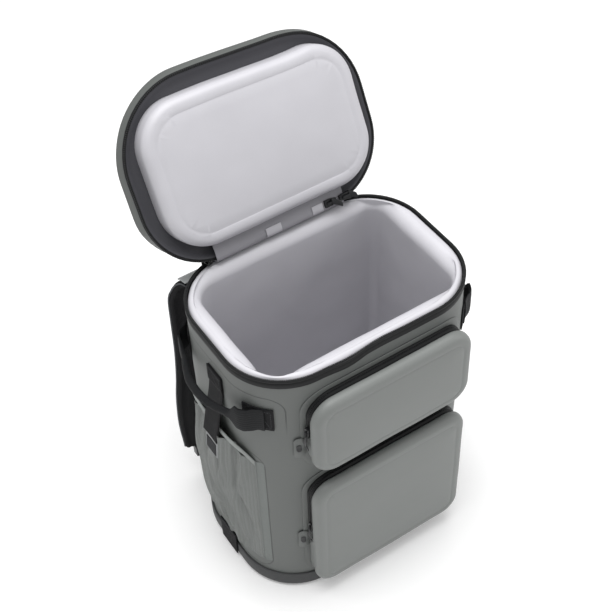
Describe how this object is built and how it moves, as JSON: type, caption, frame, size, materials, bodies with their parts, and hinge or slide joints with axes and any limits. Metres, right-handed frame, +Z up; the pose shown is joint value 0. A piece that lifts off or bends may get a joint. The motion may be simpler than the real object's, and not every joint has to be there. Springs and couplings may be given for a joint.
{
  "type": "cooler backpack",
  "caption": "Insulated cooler backpack of coated cloth: open padded tub, zip-round lid leaning back, zipped front pockets, side handles, mesh side pockets and padded shoulder straps.",
  "frame": {"origin": "centre of the flat underside, on the floor it stands on", "axes": "+Z up, -Y out of the front with the pockets, +Y out of the back with the shoulder straps, +X to the right seen from the front"},
  "size_m": [0.3842, 0.3685, 0.6497],
  "materials": {
    "shell": "grey coated cloth, satin",
    "liner": "pale padded liner, satin",
    "zip": "dark coated zip tape",
    "trim": "dark moulded boot, matte",
    "webbing": "black woven webbing",
    "mesh": "grey stretch mesh",
    "plastic": "black moulded plastic",
    "label": "plain woven label, bare",
    "strap": "black padded cloth",
    "yoke": "light grey coated cloth"
  },
  "bodies": {
    "root": {"base_boot": "trim", "body_shell": "shell", "liner": "liner", "body_zip_band": "zip", "hinge_panel": "liner", "lid_shell": "shell", "lid_zip_band": "zip", "lid_pad": "liner", "main_zip_sliders": "plastic", "upper_pocket_zip": "zip", "upper_pocket_gusset": "shell", "upper_pocket_face": "shell", "upper_pocket_slider": "plastic", "upper_pocket_pull": "webbing", "upper_pocket_garage": "shell", "lower_pocket_zip": "zip", "lower_pocket_gusset": "shell", "lower_pocket_face": "shell", "lower_pocket_slider": "plastic", "lower_pocket_pull": "webbing", "lower_pocket_garage": "shell", "side_webbing_left": "webbing", "side_webbing_right": "webbing", "handle_patch_front_left": "webbing", "handle_patch_front_right": "webbing", "handle_patch_back_left": "webbing", "handle_patch_back_right": "webbing", "handle_grip_left": "webbing", "handle_grip_right": "webbing", "mesh_pocket_left": "mesh", "mesh_pocket_right": "mesh", "mesh_hem_left": "mesh", "mesh_hem_right": "mesh", "mesh_binding_front_left": "shell", "mesh_binding_front_right": "shell", "mesh_binding_back_left": "shell", "mesh_binding_back_right": "shell", "label_loop_left": "label", "label_loop_right": "label", "base_tab_left": "webbing", "base_tab_right": "webbing", "shoulder_strap_left": "strap", "shoulder_strap_right": "strap", "strap_webbing_left": "webbing", "strap_webbing_right": "webbing", "strap_buckle_left": "plastic", "strap_buckle_right": "plastic", "strap_anchor_left": "webbing", "strap_anchor_right": "webbing", "back_pad": "strap", "strap_yoke": "yoke"}
  },
  "joints": []
}
